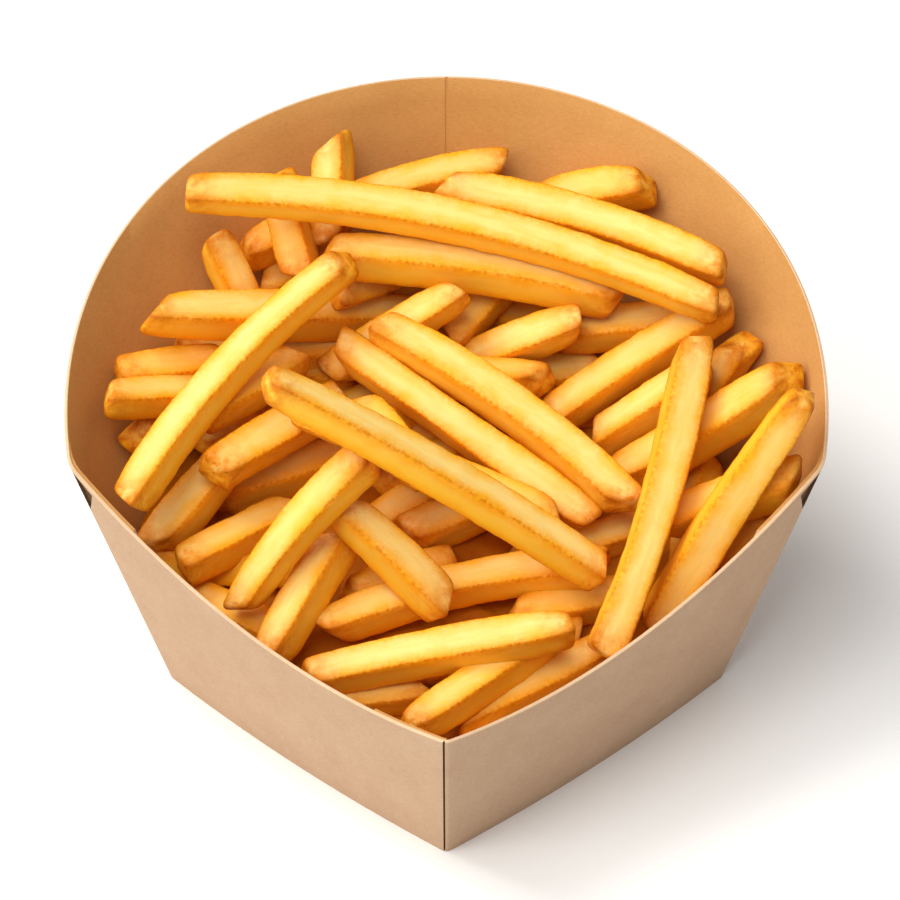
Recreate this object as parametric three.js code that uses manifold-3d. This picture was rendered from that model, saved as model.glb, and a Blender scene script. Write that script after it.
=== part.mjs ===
// French fries in a folded kraft carton, in millimetres with +Z up.
// The carton stands on a diamond base whose corners point front (-Y), right, back and left. Two low
// front panels meet at the front corner, and one tall curved wall closes the back. The fries are a
// heap laid fry by fry on a solid core. The origin is the centre of the base's underside.
import * as THREE from "three";
import { mergeVertices } from "three/addons/utils/BufferGeometryUtils.js";
import Module from "manifold-3d";

const { Vector3 } = THREE;
const { clamp, degToRad, lerp, smoothstep } = THREE.MathUtils;

// Carton
const BOARD = 0.7; // thickness of the board
const BASE_HALF_WIDTH = 55;
const BASE_HALF_DEPTH = 49.6;
const FRONT_TOP = new Vector3(0, -61.5, 39.9); // top of the front corner
const SIDE_TOP = new Vector3(72.4, -1, 55.6); // top of the right corner, mirrored for the left
const BACK_TOP_HEIGHT = 85;
const BACK_RIM_RADIUS = 73.7; // of the back wall's rim, seen from above
const BACK_RIM_CENTRE_Y = 12.3;
const FRONT_RIM_SAG = 8.6; // how far a front panel's rim dips between its two corners
const FRONT_LEAN = 0.218; // a front panel's outward lean, as run over rise
const RIM_BULGE = 2.8; // how far a front panel bows outwards at its rim
const BASE_BULGE = 1.7; // and how far each side of the base does
const BACK_EASE = 0.7; // how much the back wall's rulings gather at the base's back corner
const FOLD_ROUNDING = 0.015; // rounded share of a panel's length on each side of a fold
const WALL_COLUMNS = 84;
const WALL_ROWS = 3;

// Joints of the blank: a glue tab behind the front corner and one behind each side corner
const PANEL_LENGTH = Math.hypot(BASE_HALF_WIDTH, BASE_HALF_DEPTH);
const FRONT_TAB = 14;
const SIDE_TAB = 12.5;
const FRONT_TAB_TOP = 0.985; // share of the wall's height that a tab reaches
const SIDE_TAB_TOP = 0.99;
const TAB_BLEND = 3 * FOLD_ROUNDING; // past a side fold, where the tucked end runs into the wall
const TAB_OVERLAP = 0.05; // share of the board's thickness left standing where it has run out
const TAB_COLUMNS = 25; // in the length of a panel
const SEAM_WIDTH = 0.4; // the groove beside the cut edge at the front corner
const SEAM_DEPTH = 0.35;
const SEAM_INSET = 0.25;
const NOTCH = [
  [0.9, 0.985],
  [4.1, 0.965],
  [0.5, 0.84],
]; // die-cut triangle by each side corner: distance from the fold, share of the height

// Fries
const CLEARANCE = 0.35; // between the fries and the carton
const CORE_FRONT_HEIGHT = 10; // the core's top rises from front to back
const CORE_SLOPE = 0.33;
const CORE_FRONT_Y = -55;
const CORE_BACK_Y = 70;
const CORE_INSET = 2.2;
const CORE_COLUMNS = 40;
const END_BEVEL = 1.3; // length of a fry's rounded end
const END_SHARE = 0.68; // width left at the very end of a fry
const EDGE_ROUNDING = 0.3; // rounded share of a fry's half width
const BOW_STEPS = 4; // lengths of a bowed fry between its rounded ends

// The fries are laid by their two ends as seen from one point in front of the carton and above it.
// "Across" and "above" are measured on a plane square to the line of sight.
const SIGHT_TARGET = new Vector3(0.69, 70.1, 0);
const SIGHT_ELEVATION = degToRad(40);
const SIGHT_DISTANCE = 1000;

// name, across and above of one end, of the other end, width, bow to the left of travel, and turn:
// the angle by which the fry's top face looks up past the eye. The lowest fries come first.
const LAID_FRIES = [
  ["deep left a", -57, 20, -39.5, 22, 7.2, 0, 30],
  ["deep left b", -67.5, 2.5, -51.5, 6.5, 7.2, 0, 34],
  ["deep left c", -41, 33, -22, 43, 7.2, 0, 30],
  ["deep left d", -39.5, 20, -16.5, 21, 7.2, 0, 40],
  ["deep mid a", -20.5, -18, 4, -4.5, 7.2, 0, 30],
  ["deep mid b", -52.5, 1, -39.5, 9.5, 7.2, 0, 26],
  ["deep mid c", 0.5, 31, 25, 24, 7.2, 0, 36],
  ["deep mid d", 10.5, 14.5, 34, 17.5, 7.2, 0, 30],
  ["deep right a", 23, 25, 50.5, 27, 7.4, 0, 36],
  ["deep right b", 54.5, -26.5, 68.5, -13.5, 7.2, 0, 30],
  ["deep right c", 22.5, -22.5, 44, -14.5, 7.2, 0, 30],
  ["deep front a", -56, -30, -34.5, -40, 7.4, 0, 34],
  ["deep front b", 11.5, -36, 40, -29.5, 7.2, 0, 30],
  ["deep front c", -22, -31.5, 1, -23, 7.2, 0, 30],
  ["deep front d", -25, -53.5, -4, -50.5, 7, 0, 30],
  ["back a", -44, 40.5, -24, 51, 7.2, 0, 34],
  ["back standing", -24.5, 67, -25, 43, 8, 0, 25],
  ["back mid", -20.5, 51.5, 12, 59.5, 7.2, 1.4, 34],
  ["back right", 16, 51.5, 42.5, 55.5, 8, 0.5, 32],
  ["left end a", -70, 15.5, -47.5, 18.5, 7, 0, 34],
  ["left end b", -73, 10.5, -49.5, 12, 7, 0, 40],
  ["left mid", -52.5, 6.5, -31.5, 19.5, 7.2, 0, 30],
  ["left low", -57, -25, -31.5, -12, 7.6, 0, 40],
  ["left under", -51.5, -11.5, -20.5, -1, 7.6, 0.6, 36],
  ["front right low", 1, -58.5, 33, -42, 7.4, 0, 34],
  ["right low", 42, -16.5, 74.5, -6, 7.6, 0.5, 34],
  ["right standing", 62.5, 23.5, 52.5, 9.5, 7.4, 0, 20],
  ["right under", 28.5, 0, 55, 17.5, 7.6, 0, 44],
  ["mid low", -9.5, -18.5, 14.5, -9, 7.6, 0, 34],
  ["front cross", -27.5, -38.5, 33, -25, 7.4, 3.4, 36],
  ["left small", -50, 45.5, -42.5, 29, 7.4, 0, 24],
  ["left flat", -64.5, 28.5, -5.5, 28, 7.8, 0, 38],
  ["back leaning", -36.5, 59, -31, 36, 7.2, 0, 20],
  ["front diagonal", -9.5, -59.5, 24, -37.5, 7.4, 0, 36],
  ["right behind", 34, -6.5, 73, 17, 8, -1.2, 40],
  ["right high", 20, 5.5, 60, 31, 7.4, 0.8, 32],
  ["front left leaning", -22, -17.5, -38, -44, 7.2, -0.5, 38],
  ["front bar", -31, -48.5, 26.5, -37.5, 7.2, 0.6, 32],
  ["back top", -3, 55.5, 58.5, 37.5, 7.2, 2.5, 16],
  ["mid arch", -26.5, 41, 36.5, 32, 8.2, 1.6, 43],
  ["mid short", -25, 15.5, 3.5, 34, 7.4, 0.5, 30],
  ["right short", 4, 18, 28.5, 27.5, 7.8, 0.5, 28],
  ["front short", -24.5, -11, -0.5, -34, 7.6, 0.6, 33],
  ["right edge", 75, 12, 42.5, -38.5, 7.4, -0.8, -14],
  ["left corner", -44.5, 0.5, -63.5, -22, 7.8, 0, 32],
  ["left over", -50, -5, -20.5, 11.5, 7.8, 0.8, 20],
  ["long diagonal", -45, -34.5, -16, -0.5, 7.3, 2, 30],
  ["long back", -56, 54, 57, 29.5, 7.2, 6.3, 26],
  ["cross low", -39, 14.5, 32, -26.5, 7, 1.5, 45],
  ["cross mid", -23.5, 22.5, 30.5, -15.5, 7.2, 0, 16],
  ["cross high", -16, 26.5, 39, -13, 7.5, 2.6, 28],
  ["right front", 51.5, 23, 32, -43.5, 7.2, 2.3, -10],
  ["left long", -68, -12, -20.5, 40.5, 7, 3.6, 34],
];

// How a fry settles: both its ends are tried at every height, and the lowest lie that neither sinks
// into what is below nor rises through what is above wins.
const PATH_SAMPLES = 11;
const CONTACT_SAMPLES = 25;
const HIGHEST = 91;
const LOWEST = 4;
const CONTACT_SHARE = 0.9; // how close two fries come, as a share of their summed half widths
const WALL_SHARE = 0.85; // how close a fry comes to the wall, as a share of its half width
const WALL_SAMPLE_COLUMNS = 96; // of the samples of the wall's inner face
const WALL_SAMPLE_ROWS = 9;
const WALL_SAMPLE_SHIFT = 0.01; // keeps the samples off the folds
const TOP_LIMIT = 100; // no line of sight is followed above this
const NO_ROOM = 40; // height of a place where nothing is free
const RIM_MARGIN = 1.5;
const SINK_COST = 1;
const RISE_COST = 4;
const TILT_COST = 0.05;

// Fries that fill the heap where the laid ones hide them: places are drawn, and a fry stays at the
// lowest height where it fits, if enough of it is out of sight of the eye
const HIDDEN_SEED = 11;
const HIDDEN_TRIES = 3000;
const HIDDEN_MOST = 45;
const HIDDEN_WIDTH = 7.2;
const HIDDEN_LENGTHS = [20, 46];
const HIDDEN_ACROSS = [-60, 60]; // where their middles are drawn
const HIDDEN_DEPTHS = [-45, 70];
const HIDDEN_TILT = degToRad(16);
const HIDDEN_SAMPLES = 7;
const HIDDEN_STEP = 1.5;
const COVER_SPREAD = 0.8; // how far out the tested spots lie, as a share of the half width
const COVER_STEP = 6; // between places tested towards the eye for the carton's wall
const COVER_REACH = 60;
const HIDDEN_SHARE = 0.2; // of a low fry's spots that must be out of sight
const HIDDEN_RISE = 1 / 45; // how much that share grows for each millimetre above the core

// ---- Solids -------------------------------------------------------------------------------------

const wasm = await Module();
wasm.setup();

function toSolid(geometry) {
  const merged = mergeVertices(geometry, 1e-4);
  return new wasm.Manifold(
    new wasm.Mesh({
      numProp: 3,
      vertProperties: new Float32Array(merged.attributes.position.array),
      triVerts: new Uint32Array(merged.index.array),
    }),
  );
}

function toGeometry(solid) {
  const mesh = solid.getMesh();
  const geometry = new THREE.BufferGeometry();
  geometry.setAttribute("position", new THREE.BufferAttribute(mesh.vertProperties, mesh.numProp));
  geometry.setIndex(new THREE.BufferAttribute(mesh.triVerts, 1));
  geometry.computeVertexNormals();
  return geometry;
}

// A closed solid through a stack of closed rings of equal count. Each ring runs anticlockwise
// about the way the stack advances, and the first and last are closed by a fan from their middle.
function ringSolid(rings) {
  const count = rings[0].length;
  const points = rings.flat();
  const faces = [];
  for (let ring = 0; ring < rings.length - 1; ring++) {
    for (let i = 0; i < count; i++) {
      const here = ring * count + i;
      const next = ring * count + ((i + 1) % count);
      faces.push(here, next, next + count, here, next + count, here + count);
    }
  }
  const middleOf = (ring) =>
    ring.reduce((sum, point) => sum.add(point), new Vector3()).divideScalar(count);
  const first = points.push(middleOf(rings[0])) - 1;
  const last = points.push(middleOf(rings.at(-1))) - 1;
  const top = (rings.length - 1) * count;
  for (let i = 0; i < count; i++) {
    const next = (i + 1) % count;
    faces.push(first, next, i, last, top + i, top + next);
  }
  const geometry = new THREE.BufferGeometry().setFromPoints(points);
  geometry.setIndex(faces);
  return toSolid(geometry);
}

// The largest body of a union: loose scraps are left out and sealed hollows are filled.
function mainBody(solid) {
  return solid.decompose().reduce((best, body) => (body.volume() > best.volume() ? body : best));
}

// ---- Carton -------------------------------------------------------------------------------------

const FRONT_OUT = new Vector3(BASE_HALF_DEPTH, -BASE_HALF_WIDTH, 0).normalize();
const BACK_OUT = new Vector3(BASE_HALF_DEPTH, BASE_HALF_WIDTH, 0).normalize();
const FRONT_UP = new Vector3(0, 0, 1).addScaledVector(FRONT_OUT, FRONT_LEAN);
const SIDE_ANGLE = Math.atan2(SIDE_TOP.x, SIDE_TOP.y - BACK_RIM_CENTRE_Y);

// Base point and rim point of a front panel, from the front corner (0) to the right corner (1)
function frontRuling(along) {
  const arch = 4 * along * (1 - along);
  const base = new Vector3(BASE_HALF_WIDTH * along, BASE_HALF_DEPTH * (along - 1), 0);
  base.addScaledVector(FRONT_OUT, BASE_BULGE * arch);
  const rim = FRONT_TOP.clone().lerp(SIDE_TOP, along);
  rim.addScaledVector(FRONT_OUT, RIM_BULGE * arch);
  rim.addScaledVector(FRONT_UP, -FRONT_RIM_SAG * arch);
  return [base, rim];
}

// The same for the back wall, from the right corner (0) to the middle of the back (1)
function backRuling(along) {
  const eased = lerp(along, smoothstep(along, 0, 1), BACK_EASE);
  const arch = 4 * eased * (1 - eased);
  const base = new Vector3(BASE_HALF_WIDTH * (1 - eased), BASE_HALF_DEPTH * eased, 0);
  base.addScaledVector(BACK_OUT, BASE_BULGE * arch);
  const angle = SIDE_ANGLE * (1 - along);
  const fall = (BACK_TOP_HEIGHT - SIDE_TOP.z) * (1 - along) ** 2;
  const rim = new Vector3(
    BACK_RIM_RADIUS * Math.sin(angle),
    BACK_RIM_CENTRE_Y + BACK_RIM_RADIUS * Math.cos(angle),
    BACK_TOP_HEIGHT - fall,
  );
  return [base, rim];
}

// A point of the wall with sharp folds. "round" runs from 0 at the front corner through 1 at the
// right, 2 at the back and 3 at the left to 4; "up" runs from 0 at the base to 1 at the rim.
function sharpWall(round, up) {
  const turn = ((round % 4) + 4) % 4;
  const half = turn <= 2 ? turn : 4 - turn;
  const [base, rim] = half <= 1 ? frontRuling(half) : backRuling(half - 1);
  const point = base.lerp(rim, up);
  if (turn > 2) point.x *= -1;
  return point;
}

// The same with rounded folds
function wallFace(round, up) {
  const fold = Math.round(round);
  const past = round - fold;
  if (Math.abs(past) >= FOLD_ROUNDING) return sharpWall(round, up);
  const share = (past + FOLD_ROUNDING) / (2 * FOLD_ROUNDING);
  const before = sharpWall(fold - FOLD_ROUNDING, up);
  const after = sharpWall(fold + FOLD_ROUNDING, up);
  const corner = sharpWall(fold, up);
  return before.lerp(corner, share).lerp(corner.lerp(after, share), share);
}

function wallNormal(round, up) {
  const step = 1e-3;
  const across = wallFace(round + step, up).sub(wallFace(round - step, up));
  const rise = wallFace(round, up + step).sub(wallFace(round, up - step));
  return across.cross(rise).normalize();
}

// A point at a depth inwards from the wall's outer face
function wallPoint(round, up, depth = 0) {
  return wallFace(round, up).addScaledVector(wallNormal(round, up), -depth);
}

// Places round the wall: even steps, with three more close to each fold
const COLUMNS = [];
for (let i = 0; i < WALL_COLUMNS; i++) {
  const round = (i * 4) / WALL_COLUMNS;
  if (Number.isInteger(round)) {
    for (const share of [-1, -0.5, 0, 0.5, 1]) COLUMNS.push(round + share * FOLD_ROUNDING);
  } else {
    COLUMNS.push(round);
  }
}

// The wall and floor as one cup: outer face "outer" mm deep, inner face "inner" mm deep, floor
// between two heights, and rim raised by "lift"
function cup(outer, inner, underside, floor, lift) {
  const outline = (up, depth, height) =>
    COLUMNS.map((round) => {
      const point = wallPoint(round, up, depth);
      if (height !== undefined) point.z = height;
      return point;
    });
  const raised = (ring) => ring.map((point) => point.setZ(point.z + lift));
  const floorShare = floor / BACK_TOP_HEIGHT;
  const rows = Array.from({ length: WALL_ROWS - 1 }, (_, i) => (i + 1) / WALL_ROWS);
  return ringSolid([
    outline(0, outer, underside),
    ...rows.map((up) => outline(up, outer)),
    raised(outline(1, outer)),
    raised(outline(1, inner)),
    ...rows.toReversed().map((up) => outline(up, inner)),
    outline(floorShare, inner, floor),
  ]);
}

// A flap that lies against the wall between two places round it and two shares of its height
function flap(from, to, low, high, near, farAt) {
  const steps = Math.ceil(Math.abs(to - from) * TAB_COLUMNS) + 1;
  const rings = [];
  for (let i = 0; i <= steps; i++) {
    const round = lerp(from, to, i / steps);
    const far = farAt(round);
    rings.push([
      wallPoint(round, high, far),
      wallPoint(round, high, near),
      wallPoint(round, (low + high) / 2, near),
      wallPoint(round, low, near),
      wallPoint(round, low, far),
      wallPoint(round, (low + high) / 2, far),
    ]);
  }
  return ringSolid(rings);
}

function makeCarton() {
  const inFloor = BOARD / 2 / BACK_TOP_HEIGHT;
  let solid = cup(0, BOARD, 0, BOARD, 0);

  // Glue tab of the right front panel, folded round the front corner and behind the left one
  const doubled = () => 2 * BOARD;
  const frontTab = FRONT_TAB / PANEL_LENGTH;
  solid = solid.add(flap(4 - frontTab, 4, inFloor, FRONT_TAB_TOP, BOARD / 2, doubled));

  // Seam where the left panel's cut edge ends just short of the fold
  const seamEnd = 4 - SEAM_INSET / PANEL_LENGTH;
  const seamStart = seamEnd - SEAM_WIDTH / PANEL_LENGTH;
  const seamDepth = () => SEAM_DEPTH;
  solid = solid.subtract(flap(seamStart, seamEnd, -0.1, 1.1, -1, seamDepth));

  // Ends of the back wall, tucked behind the front panels and thinning out at the fold
  const sideTab = SIDE_TAB / PANEL_LENGTH;
  for (const [from, to, fold] of [
    [1 - sideTab, 1 + TAB_BLEND, 1],
    [3 - TAB_BLEND, 3 + sideTab, 3],
  ]) {
    const tucked = (round) => {
      const past = fold === 1 ? round - fold : fold - round;
      return BOARD * (2 - (1 - TAB_OVERLAP) * smoothstep(past, -FOLD_ROUNDING, TAB_BLEND));
    };
    solid = solid.add(flap(from, to, inFloor, SIDE_TAB_TOP, BOARD / 2, tucked));
  }

  // Die-cut triangle through both plies by each side corner
  for (const side of [1, -1]) {
    const corners = NOTCH.map(([distance, up]) => [2 - side * (1 + distance / PANEL_LENGTH), up]);
    if (side < 0) corners.reverse();
    const ringAt = (depth) => corners.map(([round, up]) => wallPoint(round, up, depth));
    solid = solid.subtract(ringSolid([ringAt(3 * BOARD), ringAt(-2 * BOARD)]));
  }
  return mainBody(solid);
}

// ---- Fries --------------------------------------------------------------------------------------

const FORWARD = new Vector3(0, Math.cos(SIGHT_ELEVATION), -Math.sin(SIGHT_ELEVATION));
const SIGHT_UP = new Vector3(0, Math.sin(SIGHT_ELEVATION), Math.cos(SIGHT_ELEVATION));
const SIGHT_RIGHT = new Vector3(1, 0, 0);
const EYE = SIGHT_TARGET.clone().addScaledVector(FORWARD, -SIGHT_DISTANCE);
const UPPER_LEFT = SIGHT_UP.clone().addScaledVector(SIGHT_RIGHT, -0.3);

// Samples of the wall's inner face, for telling how close a fry is to it
const WALL_SAMPLES = [];
for (let column = 0; column < WALL_SAMPLE_COLUMNS; column++) {
  const round = (4 * column) / WALL_SAMPLE_COLUMNS + WALL_SAMPLE_SHIFT;
  for (let row = 0; row <= WALL_SAMPLE_ROWS; row++) {
    WALL_SAMPLES.push({
      point: wallPoint(round, row / WALL_SAMPLE_ROWS, BOARD),
      normal: wallNormal(round, row / WALL_SAMPLE_ROWS),
      rim: wallFace(round, 1).z,
    });
  }
}

function sightLine(across, above) {
  return FORWARD.clone()
    .multiplyScalar(SIGHT_DISTANCE)
    .addScaledVector(SIGHT_RIGHT, across)
    .addScaledVector(SIGHT_UP, above);
}

function atHeight(line, height) {
  return EYE.clone().addScaledVector(line, (height - EYE.z) / line.z);
}

function coreTop(y) {
  return CORE_FRONT_HEIGHT + CORE_SLOPE * (clamp(y, CORE_FRONT_Y, CORE_BACK_Y) - CORE_FRONT_Y);
}

function isBlocked(point, radius) {
  if (point.z < BOARD + 0.1 + radius) return true;
  if (point.z < coreTop(point.y) + radius / 2) return true;
  let nearest = WALL_SAMPLES[0];
  let least = Infinity;
  for (const sample of WALL_SAMPLES) {
    const distance = sample.point.distanceToSquared(point);
    if (distance < least) [least, nearest] = [distance, sample];
  }
  if (point.z >= nearest.rim + RIM_MARGIN) return false;
  return point.clone().sub(nearest.point).dot(nearest.normal) > -WALL_SHARE * radius;
}

// Lowest free run of heights on a line of sight, as [low, high]
function freeRun(line, radius) {
  let height = 1;
  while (height <= TOP_LIMIT && isBlocked(atHeight(line, height), radius)) height++;
  if (height > TOP_LIMIT) return [NO_ROOM, NO_ROOM];
  const low = height;
  while (height < TOP_LIMIT && !isBlocked(atHeight(line, height + 1), radius)) height++;
  return [low, height];
}

// Height at which a fry on this line of sight first meets one of the balls already laid
function contactHeight(line, radius, balls) {
  const direction = line.clone().normalize();
  let reach = Infinity;
  for (const ball of balls) {
    const toBall = ball.centre.clone().sub(EYE);
    const along = toBall.dot(direction);
    const offSquared = toBall.lengthSq() - along ** 2;
    const touching = (radius + ball.radius) * CONTACT_SHARE;
    if (offSquared < touching ** 2) {
      reach = Math.min(reach, along - Math.sqrt(touching ** 2 - offSquared));
    }
  }
  return reach === Infinity ? -Infinity : EYE.z + direction.z * reach;
}

// Place on the sight plane at a share of a laid fry's length
function seenAt(fry, share) {
  const travel = fry.end.clone().sub(fry.start).normalize();
  const left = new THREE.Vector2(-travel.y, travel.x);
  const offset = 4 * share * (1 - share) * fry.bow;
  return fry.start.clone().lerp(fry.end, share).addScaledVector(left, offset);
}

// A laid fry, sunk along its lines of sight until it rests on the balls of the earlier ones
function layFry([name, startX, startY, endX, endY, width, bow, turn], balls) {
  const seen = { start: new THREE.Vector2(startX, startY), end: new THREE.Vector2(endX, endY), bow };
  const radius = width / 2;
  const lineAt = (share) => {
    const { x, y } = seenAt(seen, share);
    return sightLine(x, y);
  };
  const limits = [];
  for (let i = 0; i < PATH_SAMPLES; i++) {
    const share = i / (PATH_SAMPLES - 1);
    const line = lineAt(share);
    const [low, high] = freeRun(line, radius);
    limits.push({ share, low: Math.max(low, contactHeight(line, radius, balls)), high });
  }
  let best = { cost: Infinity };
  for (let start = LOWEST; start <= HIGHEST; start++) {
    for (let end = LOWEST; end <= HIGHEST; end++) {
      let cost = (start + end) / 2 + TILT_COST * Math.abs(end - start);
      for (const { share, low, high } of limits) {
        const height = lerp(start, end, share);
        cost += SINK_COST * Math.max(0, low - height) + RISE_COST * Math.max(0, height - high);
      }
      if (cost < best.cost) best = { cost, start, end };
    }
  }
  const pointAt = (share) => atHeight(lineAt(share), lerp(best.start, best.end, share));
  return { name, width, bow, turn: degToRad(turn), pointAt };
}

function ballsOf(fry) {
  return Array.from({ length: CONTACT_SAMPLES }, (_, i) => ({
    centre: fry.pointAt(i / (CONTACT_SAMPLES - 1)),
    radius: fry.width / 2,
  }));
}

// Random numbers from 0 to 1
function makeRandom(seed) {
  let state = seed;
  return () => {
    state = (Math.imul(state, 1664525) + 1013904223) >>> 0;
    return state / 2 ** 32;
  };
}

function fits(points, radius, balls) {
  return points.every(
    (point) =>
      !isBlocked(point, radius) &&
      balls.every(
        (ball) => ball.centre.distanceTo(point) >= (radius + ball.radius) * CONTACT_SHARE,
      ),
  );
}

// Whether a spot is out of the eye's sight behind a ball or behind the carton's front panels
function isCovered(spot, margin, balls) {
  const direction = spot.clone().sub(EYE);
  const distance = direction.length();
  direction.divideScalar(distance);
  const behindBall = balls.some((ball) => {
    const toBall = ball.centre.clone().sub(EYE);
    const along = toBall.dot(direction);
    return along < distance - margin && toBall.lengthSq() - along ** 2 < ball.radius ** 2;
  });
  if (behindBall) return true;
  for (let back = COVER_STEP; back <= COVER_REACH; back += COVER_STEP) {
    if (isBlocked(spot.clone().addScaledVector(direction, -back), 0)) return true;
  }
  return false;
}

// The share of spots on a fry that are covered
function hiddenShare(points, radius, balls) {
  const spread = COVER_SPREAD * radius;
  const spots = points.flatMap((point) => [
    point.clone().addScaledVector(SIGHT_RIGHT, spread),
    point.clone().addScaledVector(SIGHT_RIGHT, -spread),
    point.clone().addScaledVector(SIGHT_UP, spread),
    point.clone().addScaledVector(SIGHT_UP, -spread),
  ]);
  return spots.filter((spot) => isCovered(spot, radius, balls)).length / spots.length;
}

// Fries drawn at random that stay where they fit out of sight
function hideFries(balls) {
  const random = makeRandom(HIDDEN_SEED);
  const radius = HIDDEN_WIDTH / 2;
  const hidden = [];
  for (let attempt = 0; attempt < HIDDEN_TRIES && hidden.length < HIDDEN_MOST; attempt++) {
    const heading = random() * Math.PI;
    const tilt = (2 * random() - 1) * HIDDEN_TILT;
    const length = lerp(...HIDDEN_LENGTHS, random());
    const across = lerp(...HIDDEN_ACROSS, random());
    const middle = new Vector3(across, lerp(...HIDDEN_DEPTHS, random()), 0);
    const turn = random() * (Math.PI / 2);
    const reach = new Vector3(Math.cos(heading), Math.sin(heading), Math.sin(tilt));
    reach.multiplyScalar(length / 2);
    const pointAt = (share) => middle.clone().addScaledVector(reach, 2 * share - 1);
    const samples = () =>
      Array.from({ length: HIDDEN_SAMPLES }, (_, i) => pointAt(i / (HIDDEN_SAMPLES - 1)));
    middle.z = coreTop(middle.y);
    while (middle.z < HIGHEST && !fits(samples(), radius, balls)) middle.z += HIDDEN_STEP;
    const needed = HIDDEN_SHARE + (middle.z - coreTop(middle.y)) * HIDDEN_RISE;
    if (middle.z >= HIGHEST || hiddenShare(samples(), radius, balls) < needed) continue;
    middle.z -= HIDDEN_STEP / 2;
    const fry = { width: HIDDEN_WIDTH, bow: 0, turn, pointAt };
    hidden.push(fry);
    balls.push(...ballsOf(fry));
  }
  return hidden;
}

// Normals of a fry's top face and side face at a share of its length
function faceNormals(fry, share) {
  const step = 0.01;
  const travel = fry.pointAt(share + step).sub(fry.pointAt(share - step)).normalize();
  const toEye = EYE.clone().sub(fry.pointAt(share));
  toEye.addScaledVector(travel, -toEye.dot(travel)).normalize();
  const aside = travel.clone().cross(toEye);
  if (aside.dot(UPPER_LEFT) < 0) aside.negate();
  const top = toEye.multiplyScalar(Math.cos(fry.turn)).addScaledVector(aside, Math.sin(fry.turn));
  return [top, travel.cross(top)];
}

// The rounded square that a fry has at a share of its length
function frySection(fry, share, scale) {
  const [top, side] = faceNormals(fry, share);
  const centre = fry.pointAt(share);
  const half = (fry.width / 2) * scale;
  const flat = half * (1 - EDGE_ROUNDING);
  return [
    [half, -flat],
    [half, flat],
    [flat, half],
    [-flat, half],
    [-half, flat],
    [-half, -flat],
    [-flat, -half],
    [flat, -half],
  ].map(([up, out]) => centre.clone().addScaledVector(top, up).addScaledVector(side, out));
}

function frySolid(fry) {
  const bevel = END_BEVEL / fry.pointAt(0).distanceTo(fry.pointAt(1));
  const steps = Math.abs(fry.bow) > 1 ? BOW_STEPS : 1;
  const rings = [frySection(fry, 0, END_SHARE)];
  for (let i = 0; i <= steps; i++) {
    rings.push(frySection(fry, lerp(bevel, 1 - bevel, i / steps), 1));
  }
  rings.push(frySection(fry, 1, END_SHARE));
  return ringSolid(rings);
}

// The solid under the fries: its sides follow the wall, and its top is the plane that rises backwards
function makeCore() {
  const sides = [];
  for (let i = 0; i < CORE_COLUMNS; i++) {
    const round = ((i + 0.5) * 4) / CORE_COLUMNS;
    let up = 0.3;
    for (let pass = 0; pass < 8; pass++) {
      const side = wallPoint(round, up, CORE_INSET);
      up *= coreTop(side.y) / side.z;
    }
    sides.push([wallPoint(round, 0, CORE_INSET), wallPoint(round, up, CORE_INSET)]);
  }
  const foot = sides.map(([low]) => low.setZ(BOARD + CLEARANCE));
  const shoulder = sides.map(([, high]) => high);
  const middle = shoulder.map((point) => new Vector3(point.x / 2, point.y / 2, coreTop(point.y / 2)));
  return ringSolid([foot, shoulder, middle]);
}

function makeHeap() {
  const balls = [];
  const fries = [];
  for (const row of LAID_FRIES) {
    const fry = layFry(row, balls);
    fries.push(fry);
    balls.push(...ballsOf(fry));
  }
  fries.push(...hideFries(balls));
  const fused = wasm.Manifold.union([makeCore(), ...fries.map(frySolid)]);
  const keepOut = cup(-CLEARANCE, 2 * BOARD + CLEARANCE, -CLEARANCE, BOARD + CLEARANCE / 2, CLEARANCE);
  return mainBody(mainBody(fused).subtract(keepOut));
}

// ---- Scene --------------------------------------------------------------------------------------

const object = new THREE.Group();

const carton = new THREE.Mesh(
  toGeometry(makeCarton()),
  new THREE.MeshStandardMaterial({ color: "#c29b76", roughness: 0.85, metalness: 0 }),
);
carton.name = "carton";
object.add(carton);

const fries = new THREE.Mesh(
  toGeometry(makeHeap()),
  new THREE.MeshStandardMaterial({ color: "#efbb4d", roughness: 0.55, metalness: 0 }),
);
fries.name = "fries";
object.add(fries);

export default object;
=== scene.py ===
import math

import bpy
import numpy as np
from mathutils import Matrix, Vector, noise


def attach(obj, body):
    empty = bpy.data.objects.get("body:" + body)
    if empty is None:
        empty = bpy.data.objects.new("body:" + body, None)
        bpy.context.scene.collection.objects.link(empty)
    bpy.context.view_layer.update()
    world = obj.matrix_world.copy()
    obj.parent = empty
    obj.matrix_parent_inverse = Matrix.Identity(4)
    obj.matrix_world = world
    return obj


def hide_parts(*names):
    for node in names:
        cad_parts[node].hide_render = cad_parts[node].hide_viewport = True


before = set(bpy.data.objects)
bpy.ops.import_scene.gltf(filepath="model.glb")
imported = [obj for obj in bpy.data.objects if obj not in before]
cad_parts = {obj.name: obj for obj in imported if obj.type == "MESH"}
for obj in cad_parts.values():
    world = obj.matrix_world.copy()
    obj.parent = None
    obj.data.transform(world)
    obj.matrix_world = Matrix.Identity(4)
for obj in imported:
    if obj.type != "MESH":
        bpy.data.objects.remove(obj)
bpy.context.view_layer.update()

MM = 0.001

# ---- Carton -----------------------------------------------------------------------------------
# A takeaway tray folded from one blank of uncoated kraft board, 0.7 mm thick. It stands on a
# diamond base. Two low front panels meet at the front corner, and a tall back wall, rolled into a
# curve, tucks its ends behind them. The board is glued at the front corner.

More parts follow.
